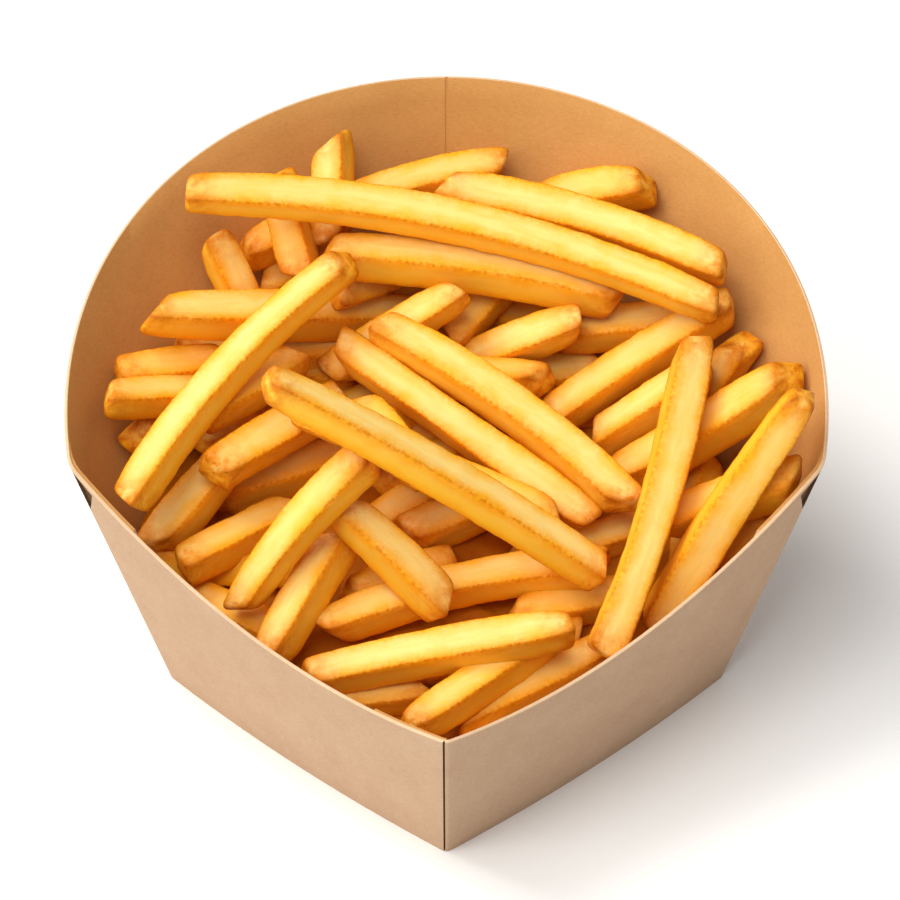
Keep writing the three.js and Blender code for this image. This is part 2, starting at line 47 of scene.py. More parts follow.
BOARD = 0.7  # thickness of the board
BASE_HALF_WIDTH = 55
BASE_HALF_DEPTH = 49.6
FRONT_TOP = Vector((0, -61.5, 39.9))  # top of the front corner
SIDE_TOP = Vector((72.4, -1, 55.6))  # top of the right corner, mirrored for the left
BACK_TOP_HEIGHT = 85
BACK_RIM_RADIUS = 73.7  # of the back wall's rim, seen from above
BACK_RIM_CENTRE_Y = 12.3
FRONT_RIM_SAG = 8.6  # how far a front panel's rim dips between its two corners
FRONT_LEAN = 0.218  # a front panel's outward lean, as run over rise
RIM_BULGE = 2.8  # how far a front panel bows outwards at its rim
BASE_BULGE = 1.7  # and how far each side of the base does
BACK_EASE = 0.7  # how much the back wall's rulings gather at the base's back corner
FOLD_ROUNDING = 0.015  # rounded share of a panel's length on each side of a fold
EDGE_ROUND = 0.12  # of the rim's cut edge
PANEL_LENGTH = math.hypot(BASE_HALF_WIDTH, BASE_HALF_DEPTH)
WALL_SLOPE = 50  # middling length up the wall, to turn a length on it into a share

COLUMNS_A_PANEL = 72
FOLD_STEPS = (-1, -0.6, -0.2, 0.2, 0.6, 1)  # columns on a fold, as shares of its rounding
WALL_ROWS = (0.1, 0.25, 0.4, 0.55, 0.7, 0.85, 0.95)
FOOT = 0.004  # share of the wall's height at its lowest row, where the tabs start
FLOOR_LEVEL = 0.013  # and at the floor's upper face
SHARP_FOLD = math.radians(32)  # faces that meet at more than this are shaded apart

FRONT_TAB = 14  # glue tab behind the front corner
SIDE_TAB = 12.5  # tucked end of the back wall behind a front panel
FRONT_TAB_TOP = 0.985  # share of the wall's height that a tab reaches
SIDE_TAB_TOP = 0.99
TAB_BLEND = 3 * FOLD_ROUNDING  # past a side fold, where the tucked end runs into the wall
TAB_OVERLAP = 0.05  # share of the board's thickness left standing where it has run out
FLAP_STEPS = 14
FLAP_ROWS = (0.0, 0.25, 0.5, 0.75, 1.0)

SEAM_WIDTH = 0.4  # the groove beside the cut edge at the front corner
SEAM_DEPTH = 0.35
SEAM_INSET = 0.25
CREASE_WIDTH = 0.4  # the crease up the middle of the back wall, on its inner face
CREASE_DEPTH = 0.12
CREASE_FOOT = 0.02  # share of the wall's height where it starts
GROOVE_STEPS = 2
BELOW_FOOT = -0.1  # share of the wall's height where the tool that cuts the seam starts
ABOVE_RIM = 1.1  # and where a cutting tool ends
PAST_FACE = 1.0  # how far a cutting tool stands out of the board

# Die-cut triangle by each side corner: distance from the fold, share of the wall's height.
NOTCH = ((0.35, 0.99), (4.3, 0.97), (0.45, 0.81))
NOTCH_DEPTH = 0.6

FRONT_OUT = Vector((BASE_HALF_DEPTH, -BASE_HALF_WIDTH, 0)).normalized()
BACK_OUT = Vector((BASE_HALF_DEPTH, BASE_HALF_WIDTH, 0)).normalized()
FRONT_UP = Vector((0, 0, 1)) + FRONT_OUT * FRONT_LEAN
SIDE_ANGLE = math.atan2(SIDE_TOP.x, SIDE_TOP.y - BACK_RIM_CENTRE_Y)


def lerp(start, end, share):
    return start + (end - start) * share


def smoothstep(value, low=0.0, high=1.0):
    share = min(max((value - low) / (high - low), 0.0), 1.0)
    return share * share * (3 - 2 * share)


def front_ruling(along):
    """Base and rim point of a front panel, from the front corner (0) to the right corner (1)."""
    arch = 4 * along * (1 - along)
    base = Vector((BASE_HALF_WIDTH * along, BASE_HALF_DEPTH * (along - 1), 0))
    base += FRONT_OUT * BASE_BULGE * arch
    rim = FRONT_TOP.lerp(SIDE_TOP, along) + FRONT_OUT * RIM_BULGE * arch
    rim -= FRONT_UP * FRONT_RIM_SAG * arch
    return base, rim


def back_ruling(along):
    """The same for the back wall, from the right corner (0) to the middle of the back (1)."""
    eased = lerp(along, smoothstep(along), BACK_EASE)
    base = Vector((BASE_HALF_WIDTH * (1 - eased), BASE_HALF_DEPTH * eased, 0))
    base += BACK_OUT * BASE_BULGE * 4 * eased * (1 - eased)
    angle = SIDE_ANGLE * (1 - along)
    rim = Vector((
        BACK_RIM_RADIUS * math.sin(angle),
        BACK_RIM_CENTRE_Y + BACK_RIM_RADIUS * math.cos(angle),
        BACK_TOP_HEIGHT - (BACK_TOP_HEIGHT - SIDE_TOP.z) * (1 - along) ** 2,
    ))
    return base, rim


def sharp_wall(turn, up):
    """A wall point with sharp folds: turn 0 is the front corner, 1 right, 2 back, 3 left."""
    turn %= 4
    half = turn if turn <= 2 else 4 - turn
    base, rim = front_ruling(half) if half <= 1 else back_ruling(half - 1)
    point = base.lerp(rim, up)
    if turn > 2:
        point.x *= -1
    return point


def wall_face(turn, up):
    """The same with rounded folds."""
    fold = round(turn)
    past = turn - fold
    if abs(past) >= FOLD_ROUNDING:
        return sharp_wall(turn, up)
    share = (past + FOLD_ROUNDING) / (2 * FOLD_ROUNDING)
    before = sharp_wall(fold - FOLD_ROUNDING, up)
    after = sharp_wall(fold + FOLD_ROUNDING, up)
    corner = sharp_wall(fold, up)
    return before.lerp(corner, share).lerp(corner.lerp(after, share), share)


def wall_normal(turn, up):
    """The direction outwards from the wall."""
    step = 1e-3
    across = wall_face(turn + step, up) - wall_face(turn - step, up)
    rise = wall_face(turn, up + step) - wall_face(turn, up - step)
    return across.cross(rise).normalized()


def wall_point(turn, up, depth=0.0):
    """A point at a depth in millimetres inwards from the wall's outer face."""
    return wall_face(turn, up) - wall_normal(turn, up) * depth


def mesh_object(name, points, faces, materials, face_materials=None):
    """A smooth object from points in millimetres, with its faces' material numbers."""
    mesh = bpy.data.meshes.new(name)
    mesh.from_pydata([tuple(c * MM for c in point) for point in points], [], faces)
    for material in materials:
        mesh.materials.append(material)
    if face_materials is not None:
        mesh.polygons.foreach_set("material_index", face_materials)
    mesh.polygons.foreach_set("use_smooth", [True] * len(mesh.polygons))
    piece = bpy.data.objects.new(name, mesh)
    bpy.context.collection.objects.link(piece)
    return piece


def ring_faces(rings, count, closed=True):
    """Quads between successive rings of equal count, and a fan at each end."""
    faces = []
    for ring in range(rings - 1):
        for i in range(count):
            here = ring * count + i
            beside = ring * count + (i + 1) % count
            faces.append((here, beside, beside + count, here + count))
    if closed:
        faces.append(tuple(reversed(range(count))))
        faces.append(tuple(range((rings - 1) * count, rings * count)))
    return faces


def linear(hex_colour):
    """An sRGB hex colour as linear red, green, blue and alpha."""
    parts = [int(hex_colour[i:i + 2], 16) / 255 for i in (1, 3, 5)]
    return [p / 12.92 if p <= 0.04045 else ((p + 0.055) / 1.055) ** 2.4 for p in parts] + [1.0]


def add_node(tree, kind, inputs=None, **settings):
    """Add a node with its settings, and set or link its inputs by name or number."""
    node = tree.nodes.new(kind)
    for name, value in settings.items():
        setattr(node, name, value)
    for name, value in (inputs or {}).items():
        if isinstance(value, bpy.types.NodeSocket):
            tree.links.new(value, node.inputs[name])
        else:
            node.inputs[name].default_value = value
    return node


def new_material(name):
    """A material with an empty node tree."""
    material = bpy.data.materials.new(name)
    material.use_nodes = True
    material.node_tree.nodes.clear()
    return material, material.node_tree


def per_metre(millimetres):
    """Noise scale at which one feature measures this many millimetres."""
    return 1 / (millimetres * MM)


def kraft_board(name, pale, deep, fibre_bump):
    """Uncoated kraft board: unbleached wood pulp, calendered flat. It is matt and dull, with long
    soft fibres a few tenths of a millimetre wide, cloudy formation and a few dark specks."""
    material, tree = new_material(name)
    place = add_node(tree, "ShaderNodeTexCoord").outputs["Object"]
    stretched = add_node(tree, "ShaderNodeMapping", {"Vector": place, "Scale": (1.0, 1.0, 3.4)})
    fibres = add_node(tree, "ShaderNodeTexNoise", {
        "Vector": stretched.outputs[0], "Scale": per_metre(0.9), "Detail": 5.0, "Roughness": 0.7})
    clouds = add_node(tree, "ShaderNodeTexNoise", {
        "Vector": place, "Scale": per_metre(9), "Detail": 4.0, "Roughness": 0.6})
    specks = add_node(tree, "ShaderNodeTexNoise", {
        "Vector": place, "Scale": per_metre(0.55), "Detail": 1.0, "Roughness": 0.4})
    speck_mask = add_node(tree, "ShaderNodeMapRange", {
        "Value": specks.outputs["Fac"], "From Min": 0.7, "From Max": 0.78, "To Max": 0.25})
    mixed = add_node(tree, "ShaderNodeMath", {
        0: clouds.outputs["Fac"], 1: 0.45, 2: fibres.outputs["Fac"]}, operation="MULTIPLY_ADD")
    spread = add_node(tree, "ShaderNodeMapRange", {
        "Value": mixed.outputs[0], "From Min": 0.45, "From Max": 1.0})
    tone = add_node(tree, "ShaderNodeMix", {
        "Factor": spread.outputs[0], "A": linear(deep), "B": linear(pale)}, data_type="RGBA")
    speckled = add_node(tree, "ShaderNodeMix", {
        "Factor": speck_mask.outputs[0], "A": tone.outputs["Result"], "B": linear("#6b4a2e")},
        data_type="RGBA")
    bump = add_node(tree, "ShaderNodeBump", {
        "Height": fibres.outputs["Fac"], "Strength": fibre_bump, "Distance": 0.08 * MM})
    shader = add_node(tree, "ShaderNodeBsdfPrincipled", {
        "Base Color": speckled.outputs["Result"], "Roughness": 0.82, "IOR": 1.45,
        "Specular IOR Level": 0.3, "Normal": bump.outputs[0]})
    add_node(tree, "ShaderNodeOutputMaterial", {"Surface": shader.outputs[0]})
    return material


BOARD_MATERIALS = (
    kraft_board("kraft_board_outer_liner", "#c9aa8c", "#b79375", 0.35),
    kraft_board("kraft_board_cut_edge", "#e4c4a0", "#d6b08a", 0.5),
    # Painted bounce light: the inner face is a deeper orange than the outer one, for the warm light
    # the fries throw on it.
    kraft_board("kraft_board_inner_liner_painted_bounce", "#d09a5a", "#be8646", 0.35),
    # Painted shade: the dark slit colours stand in for the shade inside the notches and the seam
    # groove.
    kraft_board("kraft_board_painted_slit_shade", "#6b4a2c", "#402a16", 0.5),
)
OUTSIDE, EDGE, INSIDE, SLIT_SHADE = range(4)


def wall_turns():
    """Places round the wall: even steps on the panels and closer ones on the folds."""
    turns = []
    for fold in range(4):
        turns += [fold + step * FOLD_ROUNDING for step in FOLD_STEPS]
        start = fold + FOLD_ROUNDING
        end = fold + 1 - FOLD_ROUNDING
        turns += [lerp(start, end, i / COLUMNS_A_PANEL) for i in range(1, COLUMNS_A_PANEL)]
    return turns


def make_cup():
    """Wall and floor in one: underside, outer face, rounded rim edge, inner face, floor."""
    turns = wall_turns()
    ups = [0.0, FOOT, *WALL_ROWS]
    near_rim = 1 - EDGE_ROUND / WALL_SLOPE
    profile = [(up, 0.0) for up in ups]
    profile += [(near_rim, 0.0), (1.0, EDGE_ROUND), (1.0, BOARD - EDGE_ROUND), (near_rim, BOARD)]
    profile += [(up, BOARD) for up in reversed(WALL_ROWS)] + [(FLOOR_LEVEL, BOARD)]
    points = []
    for number, (up, depth) in enumerate(profile):
        for turn in turns:
            point = wall_point(turn, up, depth)
            if number == 0:
                point.z = 0.0
            if number == len(profile) - 1:
                point.z = BOARD
            points.append(point)
    faces = ring_faces(len(profile), len(turns))
    bands = [OUTSIDE] * len(ups) + [EDGE] * 3
    bands += [INSIDE] * (len(profile) - 1 - len(bands))
    finish = [band for band in bands for _ in turns] + [OUTSIDE, INSIDE]
    return mesh_object("carton_board", points, faces, BOARD_MATERIALS, finish)


def make_flap(start, end, low, high, near, far_at, steps=FLAP_STEPS):
    """A ply that lies against the wall between two places round it."""
    rows = len(FLAP_ROWS)
    points = []
    for i in range(steps + 1):
        turn = lerp(start, end, i / steps)
        far = far_at(turn)
        points += [wall_point(turn, lerp(high, low, row), near) for row in FLAP_ROWS]
        points += [wall_point(turn, lerp(low, high, row), far) for row in FLAP_ROWS]
    faces = ring_faces(steps + 1, 2 * rows)
    finish = [INSIDE if i % (2 * rows) >= rows else EDGE for i in range(len(faces))]
    return mesh_object("flap", points, faces, BOARD_MATERIALS, finish)


def combine(piece, tool, operation):
    """Join or cut a piece with a tool, which is then removed."""
    modifier = piece.modifiers.new("combine", "BOOLEAN")
    modifier.operation = operation
    modifier.object = tool
    modifier.solver = "MANIFOLD"
    modifier.material_mode = "TRANSFER"
    evaluated = piece.evaluated_get(bpy.context.evaluated_depsgraph_get())
    mesh = bpy.data.meshes.new_from_object(evaluated)
    piece.modifiers.remove(modifier)
    piece.data = mesh
    bpy.data.objects.remove(tool)


def tucked_end(fold):
    """Depth of a tucked end of the back wall, which thins out where it passes the fold."""
    def depth(turn):
        past = turn - fold if fold == 1 else fold - turn
        return BOARD * (2 - (1 - TAB_OVERLAP) * smoothstep(past, -FOLD_ROUNDING, TAB_BLEND))
    return depth


def cut_groove(piece, start, end, low, near, far, finish):
    """Cut a groove up the wall between two places round it and two depths."""
    groove = make_flap(start, end, low, ABOVE_RIM, near, lambda turn: far, GROOVE_STEPS)
    groove.data.polygons.foreach_set("material_index", [finish] * len(groove.data.polygons))
    combine(piece, groove, "DIFFERENCE")


def cut_notch(piece, side):
    """Cut the blind triangle beside the right corner (side 1) or the left one (side -1)."""
    corners = [(2 - side * (1 + gap / PANEL_LENGTH), up) for gap, up in NOTCH]
    if side < 0:
        corners.reverse()
    points = [wall_point(turn, up, NOTCH_DEPTH) for turn, up in corners]
    points += [wall_point(turn, up, -2 * BOARD) for turn, up in corners]
    faces = ring_faces(2, len(corners))
    # The notch's cut faces take the painted slit shade.
    combine(piece, mesh_object("notch", points, faces, BOARD_MATERIALS, [SLIT_SHADE] * len(faces)),
            "DIFFERENCE")


carton = make_cup()
front_tab = make_flap(4 - FRONT_TAB / PANEL_LENGTH, 4, FOOT, FRONT_TAB_TOP, BOARD / 2,
                      lambda turn: 2 * BOARD)
combine(carton, front_tab, "UNION")
for fold, start, end in ((1, 1 - SIDE_TAB / PANEL_LENGTH, 1 + TAB_BLEND),
                         (3, 3 - TAB_BLEND, 3 + SIDE_TAB / PANEL_LENGTH)):
    side_tab = make_flap(start, end, FOOT, SIDE_TAB_TOP, BOARD / 2, tucked_end(fold))
    combine(carton, side_tab, "UNION")

seam_end = 4 - SEAM_INSET / PANEL_LENGTH
seam_start = seam_end - SEAM_WIDTH / PANEL_LENGTH
# The seam groove's cut faces take the painted slit shade.
cut_groove(carton, seam_start, seam_end, BELOW_FOOT, -PAST_FACE, SEAM_DEPTH, SLIT_SHADE)
half_crease = CREASE_WIDTH / 2 / PANEL_LENGTH
cut_groove(carton, 2 - half_crease, 2 + half_crease, CREASE_FOOT, BOARD - CREASE_DEPTH,
           BOARD + PAST_FACE, INSIDE)
for side in (1, -1):
    cut_notch(carton, side)
carton.data.polygons.foreach_set("use_smooth", [True] * len(carton.data.polygons))
carton.data.set_sharp_from_angle(angle=SHARP_FOLD)
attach(carton, "root")
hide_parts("carton")

# ---- Fries ------------------------------------------------------------------------------------
# Thin-cut potato sticks, about 7 mm square, fried golden. Their top faces are painted pale yellow,
# as lit, and their flanks deeper orange, as painted shade; edges and ends are browned with fine
# blisters.

CLEARANCE = 0.35  # between the fries and the carton
CORE_FRONT_HEIGHT = 10  # the core's top rises from front to back
CORE_SLOPE = 0.33
CORE_FRONT_Y = -55
CORE_BACK_Y = 70

# The fries are laid by their two ends as seen from one point in front of the carton and above it.
# "Across" and "above" are measured on a plane square to the line of sight.
SIGHT_TARGET = np.array([0.69, 70.1, 0.0])
SIGHT_ELEVATION = math.radians(40)
SIGHT_DISTANCE = 1000.0
FORWARD = np.array([0, math.cos(SIGHT_ELEVATION), -math.sin(SIGHT_ELEVATION)])
SIGHT_UP = np.array([0, math.sin(SIGHT_ELEVATION), math.cos(SIGHT_ELEVATION)])
SIGHT_RIGHT = np.array([1.0, 0, 0])
UPPER_LEFT = SIGHT_UP - 0.3 * SIGHT_RIGHT  # the side to which a fry's top face turns
EYE = SIGHT_TARGET - FORWARD * SIGHT_DISTANCE

# Name, across and above of one end, of the other end, width, bow to the left of travel, and turn:
# the angle by which the fry's top face looks up past the eye. The lowest fries come first.
LAID_FRIES = [
    ("deep left a", -57, 20, -39.5, 22, 7.2, 0, 30),
    ("deep left b", -67.5, 2.5, -51.5, 6.5, 7.2, 0, 34),
    ("deep left c", -41, 33, -22, 43, 7.2, 0, 30),
    ("deep left d", -39.5, 20, -16.5, 21, 7.2, 0, 40),
    ("deep mid a", -20.5, -18, 4, -4.5, 7.2, 0, 30),
    ("deep mid b", -52.5, 1, -39.5, 9.5, 7.2, 0, 26),
    ("deep mid c", 0.5, 31, 25, 24, 7.2, 0, 36),
    ("deep mid d", 10.5, 14.5, 34, 17.5, 7.2, 0, 30),
    ("deep right a", 23, 25, 50.5, 27, 7.4, 0, 36),
    ("deep right b", 54.5, -26.5, 68.5, -13.5, 7.2, 0, 30),
    ("deep right c", 22.5, -22.5, 44, -14.5, 7.2, 0, 30),
    ("deep front a", -56, -30, -34.5, -40, 7.4, 0, 34),
    ("deep front b", 11.5, -36, 40, -29.5, 7.2, 0, 30),
    ("deep front c", -22, -31.5, 1, -23, 7.2, 0, 30),
    ("deep front d", -25, -53.5, -4, -50.5, 7, 0, 30),
    ("back a", -44, 40.5, -24, 51, 7.2, 0, 34),
    ("back standing", -24.5, 67, -25, 43, 8, 0, 25),
    ("back mid", -20.5, 51.5, 12, 59.5, 7.2, 1.4, 34),
    ("back right", 16, 51.5, 42.5, 55.5, 8, 0.5, 32),
    ("left end a", -70, 15.5, -47.5, 18.5, 7, 0, 34),
    ("left end b", -73, 10.5, -49.5, 12, 7, 0, 40),
    ("left mid", -52.5, 6.5, -31.5, 19.5, 7.2, 0, 30),
    ("left low", -57, -25, -31.5, -12, 7.6, 0, 40),
    ("left under", -51.5, -11.5, -20.5, -1, 7.6, 0.6, 36),
    ("front right low", 1, -58.5, 33, -42, 7.4, 0, 34),
    ("right low", 42, -16.5, 74.5, -6, 7.6, 0.5, 34),
    ("right standing", 62.5, 23.5, 52.5, 9.5, 7.4, 0, 20),
    ("right under", 28.5, 0, 55, 17.5, 7.6, 0, 44),
    ("mid low", -9.5, -18.5, 14.5, -9, 7.6, 0, 34),
    ("front cross", -27.5, -38.5, 33, -25, 7.4, 3.4, 36),
    ("left small", -50, 45.5, -42.5, 29, 7.4, 0, 24),
    ("left flat", -64.5, 28.5, -5.5, 28, 7.8, 0, 38),
    ("back leaning", -36.5, 59, -31, 36, 7.2, 0, 20),
    ("front diagonal", -9.5, -59.5, 24, -37.5, 7.4, 0, 36),
    ("right behind", 34, -6.5, 73, 17, 8, -1.2, 40),
    ("right high", 20, 5.5, 60, 31, 7.4, 0.8, 32),
    ("front left leaning", -22, -17.5, -38, -44, 7.2, -0.5, 38),
    ("front bar", -31, -48.5, 26.5, -37.5, 7.2, 0.6, 32),
    ("back top", -3, 55.5, 58.5, 37.5, 7.2, 2.5, 16),
    ("mid arch", -26.5, 41, 36.5, 32, 8.2, 1.6, 43),
    ("mid short", -25, 15.5, 3.5, 34, 7.4, 0.5, 30),
    ("right short", 4, 18, 28.5, 27.5, 7.8, 0.5, 28),
    ("front short", -24.5, -11, -0.5, -34, 7.6, 0.6, 33),
    ("right edge", 75, 12, 42.5, -38.5, 7.4, -0.8, -14),
    ("left corner", -44.5, 0.5, -63.5, -22, 7.8, 0, 32),
    ("left over", -50, -5, -20.5, 11.5, 7.8, 0.8, 20),
    ("long diagonal", -45, -34.5, -16, -0.5, 7.3, 2, 30),
    ("long back", -56, 54, 57, 29.5, 7.2, 6.3, 26),
    ("cross low", -39, 14.5, 32, -26.5, 7, 1.5, 45),
    ("cross mid", -23.5, 22.5, 30.5, -15.5, 7.2, 0, 16),
    ("cross high", -16, 26.5, 39, -13, 7.5, 2.6, 28),
    ("right front", 51.5, 23, 32, -43.5, 7.2, 2.3, -10),
    ("left long", -68, -12, -20.5, 40.5, 7, 3.6, 34),
]

# A laid fry sinks along its lines of sight until it rests on what lies below it. Its two ends'
# heights are the cheapest pair, where a millimetre too deep or too high has a cost at each sample.
PATH_SAMPLES = 11
CONTACT_SAMPLES = 25  # balls that stand for a fry in the way of the next ones
HIGHEST = 91
LOWEST = 4
CONTACT_SHARE = 0.9  # how close two fries come, as a share of their summed half widths
WALL_SHARE = 0.85  # how close a fry comes to the wall, as a share of its half width
FLOOR_GAP = 0.1
TOP_LIMIT = 100  # no line of sight is followed above this
NO_ROOM = 40.0  # height of a place where nothing is free
RIM_MARGIN = 1.5  # how far above its rim the wall still counts
SINK_COST = 1.0
RISE_COST = 4.0
TILT_COST = 0.05

# Fries that fill the heap where the laid ones hide them: places are drawn, and a fry stays at the
# lowest height where it fits, if enough of it is out of sight of the eye.
HIDDEN_SEED = 11
HIDDEN_TRIES = 3000
HIDDEN_MOST = 45
HIDDEN_WIDTH = 7.2
HIDDEN_LENGTHS = (20, 46)
HIDDEN_ACROSS = (-60, 60)  # where their middles are drawn
HIDDEN_DEPTHS = (-45, 70)
HIDDEN_TILT = math.radians(16)
HIDDEN_SAMPLES = 7
HIDDEN_STEP = 1.5  # between the heights tried
COVER_SPREAD = 0.8  # how far out the tested spots lie, as a share of the half width
COVER_STEP = 6  # between places tested towards the eye for the carton's wall
COVER_REACH = 60
HIDDEN_SHARE = 0.2  # of a low fry's spots that must be out of sight
HIDDEN_RISE = 1 / 45  # how much that share grows for each millimetre above the core

# A bed of fries half sunk in the core, drawn in the same way.
BED_SEED = 5
BED_TRIES = 4000
BED_DEPTHS = (-52, 74)
BED_RISE = 0.6  # height of a bed fry's middle above the core, in half widths
BED_SHARE = 0.66  # how close a bed fry comes to others, as a share of their summed half widths

WALL_SAMPLE_COLUMNS = 96
WALL_SAMPLE_ROWS = 9
WALL_SAMPLE_SHIFT = 0.01  # keeps the samples off the folds
wall_spots = [(4 * column / WALL_SAMPLE_COLUMNS + WALL_SAMPLE_SHIFT, row / WALL_SAMPLE_ROWS)
              for column in range(WALL_SAMPLE_COLUMNS) for row in range(WALL_SAMPLE_ROWS + 1)]
WALL_POINTS = np.array([wall_point(turn, up, BOARD) for turn, up in wall_spots])
WALL_NORMALS = np.array([wall_normal(turn, up) for turn, up in wall_spots])
WALL_RIMS = np.array([wall_face(turn, 1).z for turn, _ in wall_spots])


def core_top(y):
    """Height of the core's top at a distance behind the carton's centre."""
    return CORE_FRONT_HEIGHT + CORE_SLOPE * (np.clip(y, CORE_FRONT_Y, CORE_BACK_Y) - CORE_FRONT_Y)


def blocked(points, radius):
    """Which points are too close to the wall, the floor or the core for a ball of this radius."""
    distances = ((points[:, None, :] - WALL_POINTS) ** 2).sum(-1)
    nearest = distances.argmin(1)
    outwards = ((points - WALL_POINTS[nearest]) * WALL_NORMALS[nearest]).sum(-1)
    heights = points[:, 2]
    in_wall = (outwards > -WALL_SHARE * radius) & (heights < WALL_RIMS[nearest] + RIM_MARGIN)
    too_low = heights < BOARD + FLOOR_GAP + radius
    in_core = heights < core_top(points[:, 1]) + radius / 2
    return in_wall | too_low | in_core


def free_run(line, radius):
    """Lowest free run of heights on a line of sight."""
    heights = np.arange(1.0, TOP_LIMIT + 1)
    is_blocked = blocked(EYE + line * ((heights - EYE[2]) / line[2])[:, None], radius)
    free = np.flatnonzero(~is_blocked)
    if not len(free):
        return NO_ROOM, NO_ROOM
    first = last = free[0]
    while last < len(heights) - 1 and not is_blocked[last + 1]:
        last += 1
    return heights[first], heights[last]


def contact_height(line, radius, centres, radii):
    """Height at which a fry on this line first meets one of the balls already laid."""
    if not len(radii):
        return -math.inf
    direction = line / np.linalg.norm(line)
    to_ball = centres - EYE
    along = to_ball @ direction
    off_squared = (to_ball ** 2).sum(1) - along ** 2
    touching = (radius + radii) * CONTACT_SHARE
    met = off_squared < touching ** 2
    if not met.any():
        return -math.inf
    reach = (along[met] - np.sqrt(touching[met] ** 2 - off_squared[met])).min()
    return EYE[2] + direction[2] * reach


class Fry:
    """A fry's width, the turn of its top face, and its path in millimetres."""

    def __init__(self, width, turn, path):
        self.width = width
        self.turn = turn
        self.path = path

    def at(self, shares):
        """Points on the path at shares of its length."""
        return self.path(np.atleast_1d(np.asarray(shares, dtype=float)))


def lay_fry(row, centres, radii):
    """Sink a fry along its lines of sight until it rests on the balls of the earlier ones."""
    _, start_x, start_y, end_x, end_y, width, bow, turn = row
    radius = width / 2
    start = np.array([start_x, start_y], dtype=float)
    end = np.array([end_x, end_y], dtype=float)
    travel = (end - start) / np.linalg.norm(end - start)
    left = np.array([-travel[1], travel[0]])

    def lines(shares):
        shares = shares[:, None]
        seen = start + (end - start) * shares + 4 * shares * (1 - shares) * bow * left
        return FORWARD * SIGHT_DISTANCE + seen[:, :1] * SIGHT_RIGHT + seen[:, 1:] * SIGHT_UP

    shares = np.linspace(0, 1, PATH_SAMPLES)
    lows = []
    highs = []
    for line in lines(shares):
        low, high = free_run(line, radius)
        lows.append(max(low, contact_height(line, radius, centres, radii)))
        highs.append(high)
    levels = np.arange(LOWEST, HIGHEST + 1.0)
    starts, ends = np.meshgrid(levels, levels, indexing="ij")
    heights = starts[..., None] + (ends - starts)[..., None] * shares
    cost = (starts + ends) / 2 + TILT_COST * abs(ends - starts)
    cost = cost + SINK_COST * np.maximum(0, np.array(lows) - heights).sum(-1)
    cost = cost + RISE_COST * np.maximum(0, heights - np.array(highs)).sum(-1)
    best = np.unravel_index(cost.argmin(), cost.shape)
    start_height = starts[best]
    end_height = ends[best]

    def path(shares):
        ray = lines(shares)
        wanted = start_height + (end_height - start_height) * shares
        return EYE + ray * ((wanted - EYE[2]) / ray[:, 2])[:, None]

    return Fry(width, math.radians(turn), path)


def straight_fry(middle, reach, turn):
    """A drawn fry, which runs straight to both sides of its middle."""
    def path(shares):
        return middle + reach * (2 * shares - 1)[:, None]
    return Fry(HIDDEN_WIDTH, turn, path)


def with_fry(fry, centres, radii):
    """The balls that stand for the fries laid so far, and those of one more."""
    centres = np.vstack([centres, fry.at(np.linspace(0, 1, CONTACT_SAMPLES))])
    return centres, np.append(radii, np.full(CONTACT_SAMPLES, fry.width / 2))


def draw_numbers(seed):
    """Random numbers from 0 to 1, each worked out from the one before."""
    state = seed
    while True:
        state = (state * 1664525 + 1013904223) % 2 ** 32
        yield state / 2 ** 32


def is_covered(spot, margin, centres, radii):
    """Whether a spot is out of the eye's sight behind a ball or behind a front panel."""
    direction = spot - EYE
    distance = np.linalg.norm(direction)
    direction = direction / distance
    to_ball = centres - EYE
    along = to_ball @ direction
    off_squared = (to_ball ** 2).sum(1) - along ** 2
    if ((along < distance - margin) & (off_squared < radii ** 2)).any():
        return True
    backs = np.arange(COVER_STEP, COVER_REACH + 1, COVER_STEP)
    return blocked(spot - direction * backs[:, None], 0).any()


def hide_fries(centres, radii):
    """Fill the heap where the laid fries hide it: a drawn fry stays at its lowest free height."""
    numbers = draw_numbers(HIDDEN_SEED)
    radius = HIDDEN_WIDTH / 2
    hidden = []
    shares = np.linspace(0, 1, HIDDEN_SAMPLES)
    for _ in range(HIDDEN_TRIES):
        if len(hidden) >= HIDDEN_MOST:
            break
        heading = next(numbers) * math.pi
        tilt = (2 * next(numbers) - 1) * HIDDEN_TILT
        length = lerp(*HIDDEN_LENGTHS, next(numbers))
        across = lerp(*HIDDEN_ACROSS, next(numbers))
        middle = np.array([across, lerp(*HIDDEN_DEPTHS, next(numbers)), 0.0])
        turn = next(numbers) * math.pi / 2
        reach = np.array([math.cos(heading), math.sin(heading), math.sin(tilt)]) * length / 2
        middle[2] = core_top(middle[1])
        offsets = reach * (2 * shares - 1)[:, None]
        wanted = (radius + radii) * CONTACT_SHARE
        while middle[2] < HIGHEST:
            points = middle + offsets
            if not blocked(points, radius).any():
                gaps = np.sqrt(((points[:, None, :] - centres) ** 2).sum(-1))
                if (gaps >= wanted).all():
                    break
            middle[2] += HIDDEN_STEP
        if middle[2] >= HIGHEST:
            continue
        spots = [point + axis * side * COVER_SPREAD * radius for point in points
                 for axis in (SIGHT_RIGHT, SIGHT_UP) for side in (1, -1)]
        out_of_sight = np.mean([is_covered(spot, radius, centres, radii) for spot in spots])
        if out_of_sight < HIDDEN_SHARE + (middle[2] - core_top(middle[1])) * HIDDEN_RISE:
            continue
        middle[2] -= HIDDEN_STEP / 2
        hidden.append(straight_fry(middle, reach, turn))
        centres, radii = with_fry(hidden[-1], centres, radii)
    return hidden, centres, radii


